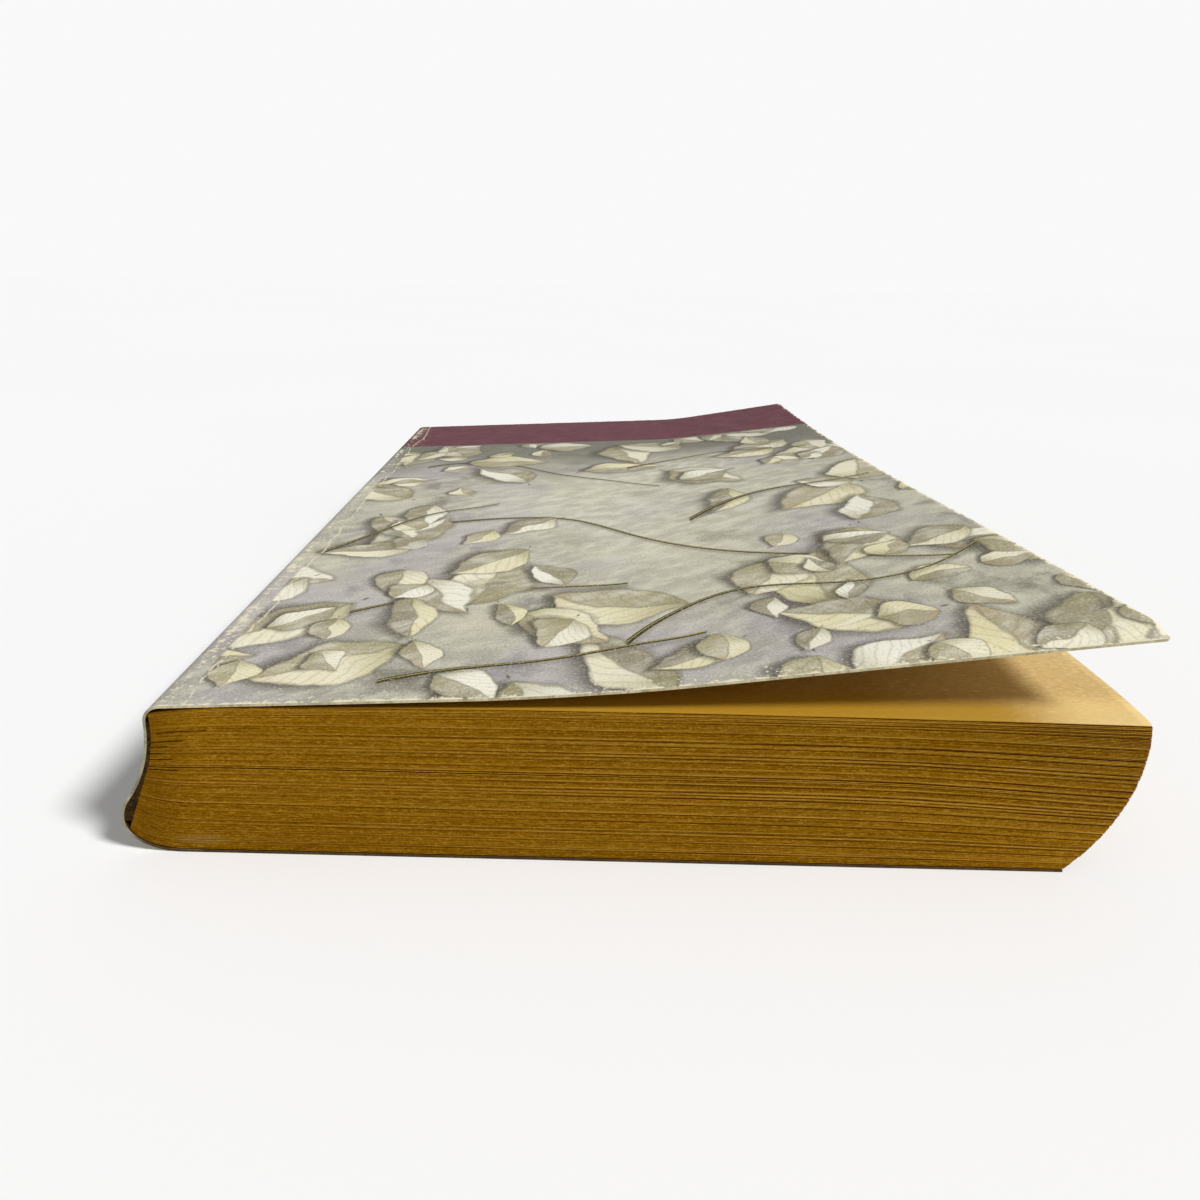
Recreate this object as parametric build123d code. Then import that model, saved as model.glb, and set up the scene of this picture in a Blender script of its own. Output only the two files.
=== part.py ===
from build123d import *
import os
from math import acos, asin, atan, atan2, degrees, hypot, radians, sin, tan

# A well-read mass-market paperback that lies on its back cover. Years of reading have cocked it: the foot of
# the spine has rolled outwards, the fore-edge slants, the leaves fan apart and the front cover stands open.
# X runs from the spine to the fore-edge, Y from the tail to the head and Z up. The origin is in the middle of
# the book's width and height, on the plane that the back cover rests on. Sizes are millimetres and degrees.

# Trimmed book
BOOK_WIDTH = 107.2  # face of the spine to the fore-edge of the top leaf
BOOK_HEIGHT = 168.0  # tail to head
SPINE_HEIGHT = 18.6  # resting plane to the outer face of the wrapper at the front fold

# Card wrapper
CARD = 0.3  # thickness of the card
AIR = 0.15  # air between a cover and the leaf next to it
FOLD_RADIUS = 2.0  # outer radius of the front fold
FOLD_SLIT = 0.1  # clearance between the spine panel and a cover at their fold

# Rolled foot of the spine
ROLL_OUT = 4.15  # how far the roll stands out past the face of the spine
ROLL_REACH = 6.4  # outermost point of the roll to where the back cover lies flat
ROLL_RISE = 4.0  # height of the outermost point, where the back cover hinges
ROLL_RADIUS = 4.5  # radius over which the spine panel turns from the roll into the hollow above it

# Page block
GLUE = 0.4  # thickness of the adhesive on the upright part of the spine
SHOULDER_DROP = 0.55  # how far the top leaf dips below the front cover at the bound edge
SHOULDER_LENGTH = 8.0  # how far from the bound edge the dip ends
FAN_RISE = 0.8  # how far the fanned leaves rise above the front fold halfway across
FORE_DROP = 0.3  # how far the top leaf droops at the fore-edge
LAST_LEAF_RISE = 3.0  # height of the bound edge of the lowest leaf, on the roll
LEAN = 5.5  # how far the lowest leaf stands behind the top leaf at the fore-edge
FORE_BULGE = 2.3  # how far the fore-edge swells between those two leaves
PAGE_CORNER = 0.5  # radius of the worn corners of the leaves

# Gaps where the leaves have fanned apart, open at the fore-edge and closed towards the spine
GAP_COUNT = 18
GAP_WIDTH = 0.2  # opening at the fore-edge
GAP_REACHES = (62.0, 38.0, 80.0, 50.0)  # depths from the fore-edge, taken in turn

# Front cover, bent up along a soft diagonal crease
NEAR_ANGLE = 2.9  # slope between the fold and the crease
TAIL_BEND, TAIL_ANGLE, TAIL_BEND_RADIUS = 46.8, 8.4, 260.0  # crease from the spine's face, slope past it
LOWER_BEND, LOWER_ANGLE, LOWER_BEND_RADIUS = 53.5, 8.0, 220.0
MIDDLE_BEND, MIDDLE_ANGLE, MIDDLE_BEND_RADIUS = 62.8, 7.0, 180.0
HEAD_BEND, HEAD_ANGLE, HEAD_BEND_RADIUS = 75.8, 9.8, 90.0
LOWER_PLACE = 45.0  # where the lower section lies, from half height towards the tail
MIDDLE_PLACE = 9.0  # where the middle section lies, from half height towards the head
COVER_SETBACK = 0.8  # front cover's fore-edge behind the top leaf's
COVER_CORNER = 0.8  # radius of the front cover's worn corners
BACK_SETBACK = 0.2  # back cover's fore-edge behind the lowest leaf's

# Places that follow from the sizes
spine_x = -BOOK_WIDTH / 2
fore_x = BOOK_WIDTH / 2
fold_x = spine_x + FOLD_RADIUS
fold_z = SPINE_HEIGHT - FOLD_RADIUS
roll_x = spine_x - ROLL_OUT
flat_x = roll_x + ROLL_REACH
panel_foot_z = ROLL_RISE + FOLD_SLIT
panel_turn = degrees(2 * atan(ROLL_OUT / (fold_z - panel_foot_z)))
hollow_radius = (fold_z - panel_foot_z) / sin(radians(panel_turn)) - ROLL_RADIUS
hollow_centre = Vector(spine_x - hollow_radius, fold_z)
cover_floor = SPINE_HEIGHT - CARD
block_floor = CARD + AIR
block_top = cover_floor + FAN_RISE
fore_foot = (fore_x - LEAN, block_floor)
fore_top = (fore_x, block_top - FORE_DROP)


def section_plane(y):
    """Upright plane across the book at y, with its first axis along X and its second along Z."""
    return Plane(origin=(0, y, 0), x_dir=(1, 0, 0), z_dir=(0, -1, 0))


def through_book(section):
    """Solid of a section that runs from the tail to the head."""
    return extrude(section_plane(0) * section, BOOK_HEIGHT / 2, both=True)


def roll_arc(inset, start_angle):
    """Part of the roll's elliptical outline, inset from the card's outer face, down to where it lies flat."""
    radii = ROLL_REACH - inset, ROLL_RISE - inset
    return EllipticalCenterArc((flat_x, ROLL_RISE), *radii, start_angle, arc_size=270 - start_angle)


def spine_curve(inset):
    """Edges of the spine panel's S, inset from its outer face: round the roll, then up the hollow to the fold."""
    roll = CenterArc((roll_x + ROLL_RADIUS, panel_foot_z), ROLL_RADIUS - inset, 180, -panel_turn)
    hollow = CenterArc(hollow_centre, hollow_radius + inset, -panel_turn, panel_turn)
    return [roll, hollow]


def bound_edges(foot, top_z):
    """Bound edge of the leaves: straight up from its foot on the roll, then a glue's thickness off the panel."""
    radius = hollow_radius + CARD + GLUE
    away = foot - hollow_centre
    tangent_angle = degrees(atan2(away.Y, away.X) + acos(radius / hypot(away.X, away.Y)))
    hollow = CenterArc(hollow_centre, radius, tangent_angle, -tangent_angle)
    return [Line(foot, hollow @ 0), hollow, Line(hollow @ 1, ((hollow @ 1).X, top_z))]


def block_section():
    """Outline of the cocked leaves: roll, floor, slanting fore-edge, top leaf and bound edge."""
    leaf_angle = degrees(asin((ROLL_RISE - LAST_LEAF_RISE) / (ROLL_RISE - block_floor)))
    roll = roll_arc(block_floor, 180 + leaf_angle)
    floor = Line(roll @ 1, fore_foot)
    fore_edge = SagittaArc(fore_foot, fore_top, -FORE_BULGE)
    bound = bound_edges(roll @ 0, cover_floor - AIR - SHOULDER_DROP)
    shoulder_rise = SHOULDER_LENGTH * tan(radians(NEAR_ANGLE))
    shoulder = Vector(fold_x + SHOULDER_LENGTH, cover_floor - AIR + shoulder_rise)
    top = ThreePointArc(fore_top, (0, block_top), shoulder)
    dip = TangentArc(shoulder, bound[-1] @ 1, tangent=top % 1)
    return make_face([roll, floor, fore_edge, top, dip, *bound])


def leaf_gap(index):
    """Thin wedge between two bundles of leaves, along the slope that the leaves have at that height."""
    share = (index + 0.5) / GAP_COUNT
    reach = GAP_REACHES[index % len(GAP_REACHES)]
    mouth_x = fore_x + FORE_BULGE
    root_z = block_floor + share * (block_top - block_floor)
    mouth_z = block_floor + share * (fore_top[1] - block_floor)
    corners = (fore_x - reach, root_z), (mouth_x, mouth_z - GAP_WIDTH / 2), (mouth_x, mouth_z + GAP_WIDTH / 2)
    return through_book(make_face(Polyline(*corners, close=True)))


def page_block():
    """The leaves as one solid: worn at the outer corners and slit where they have fanned apart."""
    block = through_book(block_section())
    fore_corners = block.edges().filter_by(GeomType.CIRCLE).sort_by(Axis.X)[-2:]
    block = fillet(fore_corners, PAGE_CORNER)
    return block - [leaf_gap(index) for index in range(GAP_COUNT)]


def spine_glue():
    """Adhesive that fills the space between the spine panel and the bound edge of the leaves."""
    panel_side = spine_curve(CARD)
    inside_x = fold_x + FOLD_RADIUS
    inside = (inside_x, fold_z), (inside_x, LAST_LEAF_RISE)
    rest = Polyline(panel_side[-1] @ 1, *inside, panel_side[0] @ 0)
    return through_book(make_face([*panel_side, rest]) - block_section())


def spine_panel():
    """Card over the spine, from the top of the roll round the front fold."""
    outer = [*spine_curve(0), CenterArc((fold_x, fold_z), FOLD_RADIUS, 180, -90)]
    inner = [*spine_curve(CARD), CenterArc((fold_x, fold_z), FOLD_RADIUS - CARD, 180, -90)]
    ends = Line(outer[0] @ 0, inner[0] @ 0), Line(outer[-1] @ 1, inner[-1] @ 1)
    return through_book(make_face([*outer, *inner, *ends]))


def back_cover():
    """Card that the book lies on, curled up into the roll at its fold."""
    outer = roll_arc(0, 180)
    inner = roll_arc(CARD, 180)
    end_x = fore_foot[0] - BACK_SETBACK
    flat = Polyline(outer @ 1, (end_x, 0), (end_x, CARD), inner @ 1)
    return through_book(make_face([outer, flat, inner, Line(outer @ 0, inner @ 0)]))


def cover_section(y, bend, angle, bend_radius):
    """Section of the front cover at y: straight from the fold, a soft crease, straight past the fore-edge."""
    start_x = fold_x + FOLD_SLIT
    bend_x = spine_x + bend
    bend_z = cover_floor + (bend_x - start_x) * tan(radians(NEAR_ANGLE))
    end_x = fore_x + COVER_CORNER
    end_z = bend_z + (end_x - bend_x) * tan(radians(angle))
    underside = FilletPolyline((start_x, cover_floor), (bend_x, bend_z), (end_x, end_z), radius=bend_radius)
    return section_plane(y) * make_face(offset(underside, CARD, side=Side.LEFT))


def front_cover():
    """Warped card lofted through four sections, trimmed at the fore-edge and worn round at its corners."""
    tail = cover_section(-BOOK_HEIGHT / 2, TAIL_BEND, TAIL_ANGLE, TAIL_BEND_RADIUS)
    lower = cover_section(-LOWER_PLACE, LOWER_BEND, LOWER_ANGLE, LOWER_BEND_RADIUS)
    middle = cover_section(MIDDLE_PLACE, MIDDLE_BEND, MIDDLE_ANGLE, MIDDLE_BEND_RADIUS)
    head = cover_section(BOOK_HEIGHT / 2, HEAD_BEND, HEAD_ANGLE, HEAD_BEND_RADIUS)
    sheet = loft([tail, lower, middle, head])
    trim = Plane(origin=(fore_x - COVER_SETBACK, 0, 0), z_dir=(1, 0, 0))
    sheet = split(sheet, trim, keep=Keep.BOTTOM)
    corners = sheet.edges().filter_by(Axis.Z).sort_by(Axis.X)[-2:]
    return fillet(corners, COVER_CORNER)


parts = {
    "page_block": page_block(),
    "spine_glue": spine_glue(),
    "spine_panel": spine_panel(),
    "front_cover": front_cover(),
    "back_cover": back_cover(),
}
os.makedirs("parts", exist_ok=True)
for name, shape in parts.items():
    export_step(shape, f"parts/{name}.step")
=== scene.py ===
from functools import partial
from math import atan, atan2, ceil, cos, exp, pi, radians, sin, sqrt, tan
from random import Random
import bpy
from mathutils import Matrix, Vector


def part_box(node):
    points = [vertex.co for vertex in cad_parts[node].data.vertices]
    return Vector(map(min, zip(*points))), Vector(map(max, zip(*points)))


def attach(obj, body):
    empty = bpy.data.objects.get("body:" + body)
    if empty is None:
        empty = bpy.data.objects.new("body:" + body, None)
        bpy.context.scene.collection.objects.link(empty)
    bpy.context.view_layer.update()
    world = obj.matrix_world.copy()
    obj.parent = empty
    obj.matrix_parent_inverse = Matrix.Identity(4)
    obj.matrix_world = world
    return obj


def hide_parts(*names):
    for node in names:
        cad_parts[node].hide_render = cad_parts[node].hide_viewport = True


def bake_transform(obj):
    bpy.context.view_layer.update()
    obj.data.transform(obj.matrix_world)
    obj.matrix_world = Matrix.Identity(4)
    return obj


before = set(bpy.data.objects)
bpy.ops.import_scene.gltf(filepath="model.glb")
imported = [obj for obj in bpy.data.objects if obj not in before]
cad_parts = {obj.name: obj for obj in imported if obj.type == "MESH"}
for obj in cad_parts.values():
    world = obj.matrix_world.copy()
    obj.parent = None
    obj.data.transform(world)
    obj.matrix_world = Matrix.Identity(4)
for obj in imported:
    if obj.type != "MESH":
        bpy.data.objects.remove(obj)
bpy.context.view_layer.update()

from types import SimpleNamespace

import bmesh
import bpy
from mathutils import Matrix, Vector

# A well-read paperback on its back cover. Sizes here are millimetres, in the frame of the solids: X from the
# spine to the fore-edge, Y from the tail to the head, Z up. They become metres where a mesh is made.
MM = 0.001

block_low, block_high = (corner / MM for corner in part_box("page_block"))
panel_low, panel_high = (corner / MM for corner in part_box("spine_panel"))
_, cover_high = (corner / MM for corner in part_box("front_cover"))
_, back_high = (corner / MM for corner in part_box("back_cover"))
TAIL, HEAD = block_low.y, block_high.y
HEIGHT = HEAD - TAIL

# Card wrapper
CARD = 0.3
AIR = 0.15  # between a cover and the leaf next to it
FOLD_RADIUS = 2.0
ROLL_RADIUS = 4.5
ROLL_REACH = 6.4
SPINE_TOP = panel_high.z
ROLL_X = panel_low.x
ROLL_RISE = back_high.z
PANEL_FOOT = panel_low.z
FOLD_X = panel_high.x
FOLD_Z = SPINE_TOP - FOLD_RADIUS
SPINE_X = FOLD_X - FOLD_RADIUS
FLAT_X = ROLL_X + ROLL_REACH
PANEL_TURN = 2 * atan((SPINE_X - ROLL_X) / (FOLD_Z - PANEL_FOOT))
HOLLOW_RADIUS = (FOLD_Z - PANEL_FOOT) / sin(PANEL_TURN) - ROLL_RADIUS
HOLLOW_X = SPINE_X - HOLLOW_RADIUS
COVER_FLOOR = SPINE_TOP - CARD
COVER_REACH = cover_high.x - FOLD_X
COVER_CORNER = 0.4  # radius of the worn corners
CORNER_RUN = 6.0  # how far behind a worn corner the mesh is drawn in
NEAR_SLOPE = tan(radians(2.9))
# Front cover's crease in four sections from the tail to the head: y, crease from the spine, slope, radius
TAIL_SECTION = (TAIL, 46.8, 8.4, 260.0)
COVER_SECTIONS = (TAIL_SECTION, (-45.0, 53.5, 8.0, 220.0), (9.0, 62.8, 7.0, 180.0), (HEAD, 75.8, 9.8, 90.0))
TAIL_EDGE_SLOPE = tan(radians(7.7))  # slope past the crease at the very tail, which is turned down
TURNED_EDGE = 3.0  # how far in from the tail that reaches

# Leaves
LEAF_COUNT = 128
LEAF = 0.1
GLUE = 0.4
LEAN = 5.5  # lowest leaf behind the top one at the fore-edge
FORE_DROP = 0.3
FORE_BULGE = 2.3
SHOULDER_DROP = 0.55
SHOULDER_LENGTH = 8.0
LAST_LEAF_DROP = 1.0  # bound edge of the lowest leaf under the outermost point of the roll
BLOCK_FLOOR = block_low.z
BLOCK_TOP = block_high.z
FORE_X = -SPINE_X
FORE_FOOT = Vector((FORE_X - LEAN, BLOCK_FLOOR))
FORE_TOP = Vector((FORE_X, BLOCK_TOP - FORE_DROP))
BOUND_TOP = Vector((SPINE_X + CARD + GLUE, COVER_FLOOR - AIR - SHOULDER_DROP))
SHOULDER = Vector((FOLD_X + SHOULDER_LENGTH, COVER_FLOOR - AIR + SHOULDER_LENGTH * NEAR_SLOPE))
ROLL_INNER = Vector((ROLL_REACH - BLOCK_FLOOR, ROLL_RISE - BLOCK_FLOOR))
LEAF_START = pi + atan2(LAST_LEAF_DROP, sqrt(ROLL_INNER.y ** 2 - LAST_LEAF_DROP ** 2))


def smooth(low, high, value):
    """0 below low, 1 above high, eased between."""
    share = min(1.0, max(0.0, (value - low) / (high - low)))
    return share * share * (3 - 2 * share)


# Materials

def srgb(red, green, blue):
    """Paint colour from display values of 0 to 255."""
    def linear(value):
        value /= 255
        return value / 12.92 if value <= 0.04045 else ((value + 0.055) / 1.055) ** 2.4
    return linear(red), linear(green), linear(blue), 1.0


class Value:
    """A shader socket that takes part in Python's arithmetic."""

    def __init__(self, finish, socket):
        self.finish = finish
        self.socket = socket

    def __add__(self, other):
        return self.finish.math("ADD", self, other)

    def __sub__(self, other):
        return self.finish.math("SUBTRACT", self, other)

    def __mul__(self, other):
        return self.finish.math("MULTIPLY", self, other)

    def __truediv__(self, other):
        return self.finish.math("DIVIDE", self, other)

    def __radd__(self, other):
        return self.finish.math("ADD", other, self)

    def __rsub__(self, other):
        return self.finish.math("SUBTRACT", other, self)

    def __rmul__(self, other):
        return self.finish.math("MULTIPLY", other, self)

    def __neg__(self):
        return self.finish.math("MULTIPLY", self, -1.0)

    def __abs__(self):
        return self.finish.math("ABSOLUTE", self)


class Finish:
    """A procedural material and the nodes that feed its shader."""

    def __init__(self, name, **constants):
        self.material = bpy.data.materials.new(name)
        self.material.use_nodes = True
        self.nodes = self.material.node_tree.nodes
        self.links = self.material.node_tree.links
        self.shader = self.nodes["Principled BSDF"]
        self.finish(**constants)

    def finish(self, **sockets):
        """Values or links for the shader's own sockets."""
        for socket, value in sockets.items():
            self.feed(self.shader.inputs[socket.replace("_", " ")], value)

    def feed(self, socket, value):
        if isinstance(value, Value):
            self.links.new(value.socket, socket)
        else:
            socket.default_value = value

    def node(self, kind, settings=None, inputs=None, output=0):
        """One node: its settings first, then values or links for its sockets."""
        made = self.nodes.new("ShaderNode" + kind)
        for name, value in (settings or {}).items():
            setattr(made, name, value)
        for socket, value in (inputs or {}).items():
            self.feed(made.inputs[socket], value)
        return Value(self, made.outputs[output])

    def math(self, operation, *terms):
        return self.node("Math", {"operation": operation}, dict(enumerate(terms)))

    def step(self, low, high, value):
        """0 at low, 1 at high, eased between; low may be the larger."""
        sockets = {"Value": value, "From Min": low, "From Max": high}
        return self.node("MapRange", {"interpolation_type": "SMOOTHSTEP"}, sockets)

    def mix(self, share, first, second):
        """Second colour over the first by share."""
        return self.node("Mix", {"data_type": "RGBA"}, {0: share, 6: first, 7: second}, 2)

    def least(self, *values):
        low = values[0]
        for value in values[1:]:
            low = self.math("MINIMUM", low, value)
        return low

    def most(self, *values):
        high = values[0]
        for value in values[1:]:
            high = self.math("MAXIMUM", high, value)
        return high

    def attribute(self, name):
        """The piece's own vector attribute as its three numbers."""
        return self.split(self.node("Attribute", {"attribute_name": name}, output="Vector"))

    def place(self):
        """Object coordinates in millimetres as three numbers."""
        return tuple(axis / MM for axis in self.split(self.node("TexCoord", output="Object")))

    def split(self, vector):
        whole = self.node("SeparateXYZ", inputs={0: vector})
        outputs = whole.socket.node.outputs
        return tuple(Value(self, outputs[axis]) for axis in range(3))

    def point(self, x=0.0, y=0.0, z=0.0):
        return self.node("CombineXYZ", inputs={0: x, 1: y, 2: z})

    def noise(self, point, scale=1.0, detail=2.0, roughness=0.5):
        """Noise from 0 to 1 at a point in millimetres; scale is in features per millimetre."""
        sockets = {"Vector": point, "Scale": scale, "Detail": detail, "Roughness": roughness}
        return self.node("TexNoise", {"noise_dimensions": "3D"}, sockets)

    def bump(self, height, strength, distance):
        sockets = {"Height": height, "Strength": strength, "Distance": distance * MM}
        self.finish(Normal=self.node("Bump", inputs=sockets))


# Meshes

def object_from(mesh, name, *finishes):
    """Object at the origin from a bmesh whose faces already name their finish."""
    data = bpy.data.meshes.new(name)
    mesh.to_mesh(data)
    mesh.free()
    for finish in finishes:
        data.materials.append(finish.material)
    made = bpy.data.objects.new(name, data)
    bpy.context.scene.collection.objects.link(made)
    return made


def formed_sheet(mesh, layer, columns, rows, form):
    """Adds a grid whose vertices take the place and the record of form(column, row); gives back its faces."""
    made = bmesh.ops.create_grid(mesh, x_segments=columns - 1, y_segments=rows - 1, size=1.0)
    for vertex in made["verts"]:
        column = round((vertex.co.x + 1) / 2 * (columns - 1))
        row = round((vertex.co.y + 1) / 2 * (rows - 1))
        place, record = form(column, row)
        vertex.co = place * MM
        vertex[layer] = record
    return list(dict.fromkeys(face for vertex in made["verts"] for face in vertex.link_faces))


def thicken(mesh, faces, depth):
    """Turns a sheet into a closed slab, by depth along the normals; gives back the far faces and the rim."""
    mesh.normal_update()
    near = set(mesh.faces)
    raised = bmesh.ops.extrude_face_region(mesh, geom=faces, use_keep_orig=True)["geom"]
    far = {item for item in raised if isinstance(item, bmesh.types.BMFace)}
    moved = [item for item in raised if isinstance(item, bmesh.types.BMVert)]
    shifts = [vertex.normal * depth for vertex in moved]
    for vertex, shift in zip(moved, shifts):
        vertex.co += shift
    for vertex in mesh.verts:
        vertex.co.y = min(HEAD * MM, max(TAIL * MM, vertex.co.y))
    rim = [face for face in mesh.faces if face not in near and face not in far]
    return far, rim


def spread(start, end, pitch):
    """Even places from start to end, no further apart than pitch, without the end."""
    count = max(1, ceil(abs(end - start) / pitch))
    return [start + (end - start) * index / count for index in range(count)]


# Shape of the wrapper: distance along its outer face from the front fold, plus over the front cover and minus
# round the fold, down the spine, round the roll and along the back cover

FOLD_LENGTH = FOLD_RADIUS * pi / 2
HOLLOW_LENGTH = HOLLOW_RADIUS * PANEL_TURN
FOOT_LENGTH = ROLL_RADIUS * PANEL_TURN
HOLLOW_START = -FOLD_LENGTH
FOOT_START = HOLLOW_START - HOLLOW_LENGTH
ROLL_START = FOOT_START - FOOT_LENGTH
roll_spread = sqrt((3 * ROLL_REACH + ROLL_RISE) * (ROLL_REACH + 3 * ROLL_RISE))
ROLL_LENGTH = pi / 4 * (3 * (ROLL_REACH + ROLL_RISE) - roll_spread)
FLAT_START = ROLL_START - ROLL_LENGTH
BACK_END = FLAT_START - (back_high.x - FLAT_X)


def between_sections(y, item):
    """Curve through the cover sections for one of their values."""
    total = 0.0
    for section in COVER_SECTIONS:
        weight = 1.0
        for other in COVER_SECTIONS:
            if other is not section:
                weight *= (y - other[0]) / (section[0] - other[0])
        total += weight * section[item]
    return total


def cover_top(x, y):
    """Height of the front cover's outer face."""
    bend = SPINE_X + between_sections(y, 1)
    angle = radians(between_sections(y, 2))
    slope = tan(angle)
    turn = between_sections(y, 3) * tan((angle - atan(NEAR_SLOPE)) / 2)
    start, end = bend - turn, bend + turn * cos(angle)
    height = SPINE_TOP + (x - FOLD_X) * NEAR_SLOPE
    if x >= end:
        return height + (slope - NEAR_SLOPE) * (x - bend)
    if x > start:
        return height + (slope - NEAR_SLOPE) * (x - start) ** 2 / (2 * (end - start))
    return height


def wrapper_point(along, y):
    """Place of the wrapper's outer face."""
    if along >= 0:
        return FOLD_X + along, cover_top(FOLD_X + along, y)
    if along >= HOLLOW_START:
        turn = -along / FOLD_RADIUS
        return FOLD_X - FOLD_RADIUS * sin(turn), FOLD_Z + FOLD_RADIUS * cos(turn)
    if along >= FOOT_START:
        turn = (HOLLOW_START - along) / HOLLOW_RADIUS
        return HOLLOW_X + HOLLOW_RADIUS * cos(turn), FOLD_Z - HOLLOW_RADIUS * sin(turn)
    if along >= ROLL_START:
        turn = (along - ROLL_START) / ROLL_RADIUS
        return ROLL_X + ROLL_RADIUS * (1 - cos(turn)), PANEL_FOOT + ROLL_RADIUS * sin(turn)
    if along >= FLAT_START:
        turn = (ROLL_START - along) / ROLL_LENGTH * pi / 2
        return FLAT_X - ROLL_REACH * cos(turn), ROLL_RISE * (1 - sin(turn))
    return FLAT_X + FLAT_START - along, 0.0


# Finish of the leaves' cut edges

EDGE_BROWN, EDGE_GOLD = srgb(136, 90, 1), srgb(159, 112, 11)
EDGE_FIBRE, EDGE_FIBRE_GAP = srgb(190, 145, 44), srgb(114, 71, 0)
EDGE_SPECK, EDGE_PIT = srgb(198, 154, 58), srgb(112, 68, 0)
EDGE_BLOTCH = srgb(124, 82, 0)
# Painted highlight along the bundles' ridges and painted shade in the gaps between bundles
EDGE_RIDGE_HIGHLIGHT, EDGE_GAP_SHADE = srgb(204, 157, 64), srgb(84, 36, 4)
EDGE_BOUND = srgb(86, 52, 0)
EDGE_SCUFF = srgb(184, 156, 92)
SCUFF_X, SCUFF_Z, SCUFF_LENGTH, SCUFF_HEIGHT = -49.0, 1.7, 3.2, 0.7  # rubbed spot low on the tail


def page_edge_finish():
    """Browned cut edges: streaked leaf by leaf, grainy, with painted shade in the gaps and painted highlights
    on the bundles' ridges, and dark at the bound edge.
    """
    paper = Finish("page_edges", Roughness=0.95, Specular_IOR_Level=0.0)
    x, y, z = paper.place()
    along, leaf, tone = paper.attribute("leaf")
    streak = paper.noise(paper.point(x * 0.07, leaf * 5.3, y * 0.07), 1.0, 2.0)
    fibre = paper.noise(paper.point(x * 1.4, leaf * 2.9, y * 1.4), 1.0, 3.0, 0.65)
    speck = paper.noise(paper.point(x * 0.6, y * 0.6, z), 5.0, 2.0, 0.6)
    blotch = paper.noise(paper.point(x, y, z), 0.09, 3.0)
    broken = paper.noise(paper.point(x * 0.11, leaf * 7.7, y * 0.11), 1.0, 1.0)
    colour = paper.mix(paper.step(0.3, 0.7, streak), EDGE_BROWN, EDGE_GOLD)
    colour = paper.mix(paper.step(0.48, 0.72, fibre) * 0.8, colour, EDGE_FIBRE)
    colour = paper.mix(paper.step(0.5, 0.3, fibre) * 0.7, colour, EDGE_FIBRE_GAP)
    colour = paper.mix(paper.step(0.52, 0.7, speck) * 0.35, colour, EDGE_SPECK)
    colour = paper.mix(paper.step(0.46, 0.3, speck) * 0.35, colour, EDGE_PIT)
    colour = paper.mix(paper.step(0.5, 0.75, blotch) * 0.25, colour, EDGE_BLOTCH)
    # Bundles of leaves show more and more towards the fore-edge, in broken lines: painted highlights on light
    # leaves, painted shade on dark ones
    fanned = 0.45 + 0.55 * paper.step(2.0, 70.0, along)
    drawn = fanned * (0.35 + 0.65 * paper.step(0.35, 0.6, broken))
    colour = paper.mix(paper.least(paper.most(tone, 0.0) * drawn * 0.7, 0.8), colour, EDGE_RIDGE_HIGHLIGHT)
    colour = paper.mix(paper.least(paper.most(-tone, 0.0) * drawn, 1.0), colour, EDGE_GAP_SHADE)
    bound = 1 - paper.step(0.0, 6.0, along + blotch * 6 - 3)
    colour = paper.mix(bound * 0.45, colour, EDGE_BOUND)
    wide = paper.math("POWER", (x - SCUFF_X) / SCUFF_LENGTH, 2.0)
    high = paper.math("POWER", (z - SCUFF_Z) / SCUFF_HEIGHT, 2.0)
    scuff = 1 - paper.step(0.1, 1.2, wide + high + (fibre - 0.5) * 4.0)
    colour = paper.mix(scuff * (1 - paper.step(TAIL + 1, TAIL + 2, y)) * 0.3, colour, EDGE_SCUFF)
    paper.finish(Base_Color=colour)
    return paper


# Finish of the leaves' faces

LEAF_SHADED_TAN, LEAF_SUNLIT_PALE = srgb(200, 166, 98), srgb(208, 183, 130)
LEAF_TONE_AND_SHADE, LEAF_BROWNED = srgb(170, 122, 26), srgb(172, 131, 36)
LEAF_MOTTLE, LEAF_FIBRE = srgb(180, 140, 68), srgb(240, 216, 164)
LEAF_CORNER_LIGHT = srgb(244, 216, 150)
LEAF_GAP_SHADE, LEAF_SHADE_AND_STAIN = srgb(66, 36, 2), srgb(86, 46, 2)


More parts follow.
